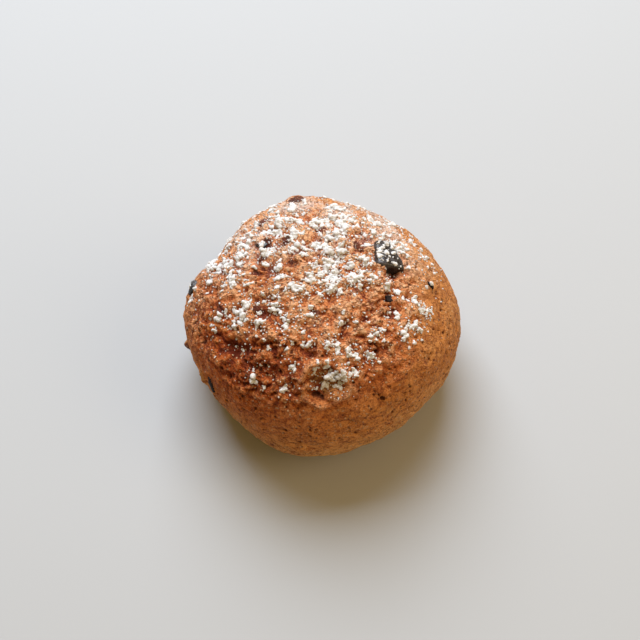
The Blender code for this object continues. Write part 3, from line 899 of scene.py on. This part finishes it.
# Bits are small lumps and crumbs are single small balls. Both lie in the dustings, close round the
# lumps, and anywhere else that the sugar reached.
SUGAR_BITS = 870
BIT_RADIUS = (0.00025, 0.00075)
SUGAR_CRUMBS = 3200
CRUMB_RADIUS = (0.00011, 0.00031)
CRUMB_RISE = 0.4  # how far its middle stands out of the crust, in radii
NEAR_LUMPS = 0.46  # share of the bits and crumbs that lie close round a lump, and how far, in its radii
NEAR_SPREAD = 1.4
IN_DUSTINGS = 0.24  # share of them in the dustings, which are azimuth, elevation and half length
DUSTINGS = (
    (35, 49, 0.0022),
    (26, 59, 0.0016),
    (26, 46, 0.0018),
    (122, 55, 0.0030),
    (-87, 41, 0.0046),
    (-83, 54, 0.0024),
    (-76, 40, 0.0020),
    (-14, 38, 0.0020),
    (64, 54, 0.0040),
    (50, 77, 0.0034),
    (-30, 87, 0.0036),
    (128, 52, 0.0034),
    (131, 66, 0.0036),
    (118, 61, 0.0026),
    (75, 83, 0.0030),
    (-12, 74, 0.0024),
    (10, 80, 0.0026),
    (-152, 63, 0.0030),
    (62, 72, 0.0026),
    (14, 67, 0.0020),
    (22, 35, 0.0026),
    (-127, 81, 0.0030),
    (89, 57, 0.0022),
)

SUGAR_SHADE = (0.670, 0.635, 0.590)
SUGAR_WHITE = (0.810, 0.795, 0.770)
POWDER_SIZE = 0.0004  # of its grains, and how high they stand


def heap_spots(draw):
    """Where the heaps' lumps lie: pairs of a direction and a radius."""
    for azimuth, elevation, half_length in SUGAR_HEAPS:
        middle = ray(azimuth, elevation)
        for _ in range(round((half_length / HEAP_SPACING) ** 2)):
            aside = Vector([draw.uniform(-1, 1) for _ in range(3)]) * half_length / risen_reach(middle)
            radius = SUGAR_RADIUS[1] * draw.uniform(*HEAP_SIZES)
            yield (middle + aside).normalized(), radius


def scattered_spots(draw):
    """Directions and radii of the other lumps, without end."""
    while True:
        up = draw.uniform(0.0, 1.0)
        around, flat = draw.uniform(0, 2 * math.pi), math.sqrt(1 - up * up)
        direction = Vector((flat * math.cos(around), flat * math.sin(around), up))
        if draw.random() < sugar_share(direction, risen_point(direction)):
            yield direction, draw.uniform(*SUGAR_RADIUS)


def sugar_spots():
    """The lumps that have room: each keeps clear of the chunks and of the lumps before it."""
    draw = random.Random(SUGAR_SEED)
    kept = []
    kept_out = [(crust_point(ray(row[1], row[2])), max(row[3][:2]) / 2) for row in CHUNKS]
    for direction, radius in itertools.chain(heap_spots(draw), scattered_spots(draw)):
        place = crust_point(direction)
        free = all((place - middle).length > half + radius + SUGAR_CLEARANCE for middle, half in kept_out)
        apart = all((place - other).length > SUGAR_SPACING * (radius + size) for other, _, size in kept)
        if free and apart and missed(risen_point(direction)) < MOSTLY_MISSED:
            kept.append((place, direction, radius))
        if len(kept) == SUGAR_LUMPS:
            return [(direction, radius) for _, direction, radius in kept]


def chunk_sugar_spots():
    """The lumps that lie on the chunks."""
    for row in CHUNKS:
        size, place = row[3], chunk_place(row)
        for along, up, radius in CHUNK_SUGAR.get(row[0], ()):
            spot = place @ Vector((along * size[0] / 2, up * size[1] / 2, size[2] / 2))
            yield (spot - HEART).normalized(), radius


def surface_tree(pieces):
    """One tree of all these pieces' faces."""
    points, faces = [], []
    for piece in pieces:
        start = len(points)
        points += [vertex.co.copy() for vertex in piece.data.vertices]
        faces += [[start + number for number in face.vertices] for face in piece.data.polygons]
    return BVHTree.FromPolygons(points, faces)


surface = surface_tree((crust, *chunks))
OUTSIDE = 0.1  # farther from the heart than any crust


def landing(direction):
    """The outermost place that lies this way from the heart, and its outward normal."""
    place, outward, _, _ = surface.ray_cast(HEART + direction * OUTSIDE, -direction)
    return place, outward


class Blobs:
    """Uneven balls that gather into one mesh."""

    def __init__(self, subdivisions):
        ball = bmesh.new()
        bmesh.ops.create_icosphere(ball, subdivisions=subdivisions, radius=1.0)
        self.ball_points = [vertex.co.copy() for vertex in ball.verts]
        self.ball_faces = [[vertex.index for vertex in face.verts] for face in ball.faces]
        ball.free()
        self.points = []
        self.faces = []

    def add(self, place, radius, draw):
        start = len(self.points)
        size = Vector([draw.uniform(*BLOB_STRETCH) for _ in range(3)])
        for point in self.ball_points:
            self.points.append(place + point * size * radius * draw.uniform(*BLOB_UNEVENNESS))
        self.faces += [[start + number for number in face] for face in self.ball_faces]

    def mesh(self, name):
        made = bpy.data.meshes.new(name)
        made.from_pydata(self.points, [], self.faces)
        return made


def add_lump(blobs, direction, radius, draw):
    """A clot of blobs that lies on the crust."""
    middle, outward = landing(direction)
    for _ in range(draw.randint(*BLOBS)):
        aside = Vector([draw.gauss(0, LUMP_SPREAD) for _ in range(3)]) * radius
        blob = radius * draw.uniform(*BLOB_SHARE)
        spot = (middle + aside - HEART).normalized()
        place, _ = landing(spot)
        blobs.add(place + outward * blob * draw.uniform(*BLOB_RISE), blob, draw)


def sugar_finish():
    finish = Finish("icing_sugar", Specular_IOR_Level=0.3, Roughness=0.85)
    place = finish.place()
    powder = finish.noise(place, POWDER_SIZE, 5.0, 0.7)
    colour = finish.colours(powder.ramp(0.25, 0.6), SUGAR_SHADE, SUGAR_WHITE)
    return finish.ends(Base_Color=colour, Normal=finish.bumps(powder, POWDER_SIZE, 1.0))


def clotted(name, blobs, voxel):
    """Melts overlapping blobs into whole lumps, as a mesh with no inner faces."""
    gathered = bpy.data.objects.new(name, blobs.mesh(name))
    bpy.context.scene.collection.objects.link(gathered)
    remesh = gathered.modifiers.new("clot", "REMESH")
    remesh.mode = "VOXEL"
    remesh.voxel_size = voxel
    graph = bpy.context.evaluated_depsgraph_get()
    melted = bpy.data.meshes.new_from_object(gathered.evaluated_get(graph))
    bpy.data.objects.remove(gathered)
    return melted


def bit_direction(lumps, spots, draw):
    """Where one more bit or crumb falls."""
    chance = draw.random()
    if chance < IN_DUSTINGS:
        azimuth, elevation, spread = draw.choice(DUSTINGS)
        aside = Vector([draw.uniform(-1, 1) for _ in range(3)]) * spread
        return (risen_point(ray(azimuth, elevation)) + aside - HEART).normalized()
    if chance > IN_DUSTINGS + NEAR_LUMPS:
        return next(spots)[0]
    while True:
        direction, radius = draw.choice(lumps)
        aside = Vector([draw.gauss(0, 1) for _ in range(3)]) * radius * NEAR_SPREAD
        fallen = (direction * risen_reach(direction) + aside).normalized()
        if missed(risen_point(fallen)) < MOSTLY_MISSED:
            return fallen


sugar_white = sugar_finish()
draw = random.Random(SUGAR_SEED + 1)
lumps = sugar_spots()
lump_blobs = Blobs(BLOB_FINENESS)
for direction, radius in itertools.chain(lumps, chunk_sugar_spots()):
    add_lump(lump_blobs, direction, radius, draw)
piece_from("sugar_lumps", clotted("sugar_lumps", lump_blobs, LUMP_VOXEL), sugar_white, "crust")

spots = scattered_spots(draw)
bit_blobs = Blobs(BLOB_FINENESS)
for _ in range(SUGAR_BITS):
    add_lump(bit_blobs, bit_direction(lumps, spots, draw), draw.uniform(*BIT_RADIUS), draw)
piece_from("sugar_bits", clotted("sugar_bits", bit_blobs, BIT_VOXEL), sugar_white, "crust")

crumbs = Blobs(CRUMB_FINENESS)
for _ in range(SUGAR_CRUMBS):
    place, outward = landing(bit_direction(lumps, spots, draw))
    radius = draw.uniform(*CRUMB_RADIUS)
    crumbs.add(place + outward * radius * CRUMB_RISE, radius, draw)
piece_from("sugar_crumbs", crumbs.mesh("sugar_crumbs"), sugar_white, "crust")


# ---- The room ----
# A plain pale table top, a broad soft window light from behind and above, a weak warm fill light from
# the right, and a dim warm room all round. The camera looks down on the front.

TABLE_HALF = 6.0
TABLE_COLOUR = (0.430, 0.442, 0.448, 1.0)
ROOM_COLOUR = (1.0, 0.67, 0.25)
ROOM_STRENGTH = 0.36

# Each light's size, power, colour, azimuth and elevation
LIGHT_DISTANCE = 1.0
LIGHTS = {
    "window": (0.8, 19.7, (0.80, 0.88, 1.0), 101, 51),
    "fill": (0.6, 3.0, (1.0, 0.80, 0.54), -14, 38),
}

AIM = Vector((-0.0006, 0.0027, 0.0186))
CAMERA_AZIMUTH = -90
CAMERA_ELEVATION = 59
CAMERA_DISTANCE = 0.380
LENS = 74.6

floor_form = bmesh.new()
bmesh.ops.create_grid(floor_form, size=TABLE_HALF)
floor_mesh = bpy.data.meshes.new("table_top")
floor_form.to_mesh(floor_mesh)
floor_form.free()
floor_finish = Finish("pale_table", Roughness=0.8, Base_Color=TABLE_COLOUR)
floor_mesh.materials.append(floor_finish.material)
table_top = bpy.data.objects.new("table_top", floor_mesh)
bpy.context.scene.collection.objects.link(table_top)
table_top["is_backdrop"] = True


def soft_light(name, size, power, colour, azimuth, elevation):
    """A broad square light that faces the scone from this side."""
    light = bpy.data.lights.new(name, "AREA")
    light.size = size
    light.energy = power
    light.color = colour
    lamp = bpy.data.objects.new(name, light)
    lamp.location = ray(azimuth, elevation) * LIGHT_DISTANCE
    lamp.rotation_euler = (HEART - lamp.location).to_track_quat("-Z", "Y").to_euler()
    bpy.context.scene.collection.objects.link(lamp)


for name, row in LIGHTS.items():
    soft_light(name, *row)

room = bpy.data.worlds.new("room")
room.use_nodes = True
room.node_tree.nodes["Background"].inputs["Color"].default_value = (*ROOM_COLOUR, 1.0)
room.node_tree.nodes["Background"].inputs["Strength"].default_value = ROOM_STRENGTH
bpy.context.scene.world = room

eye = bpy.data.cameras.new("eye")
eye.lens = LENS
camera = bpy.data.objects.new("eye", eye)
camera.location = AIM + ray(CAMERA_AZIMUTH, CAMERA_ELEVATION) * CAMERA_DISTANCE
camera.rotation_euler = (AIM - camera.location).to_track_quat("-Z", "Y").to_euler()
bpy.context.scene.collection.objects.link(camera)
bpy.context.scene.camera = camera
bpy.context.scene.view_settings.view_transform = "Standard"

boxes = {"solids": solid_box, "shown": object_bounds()}
{name: [list(corner) for corner in corners] for name, corners in boxes.items()}
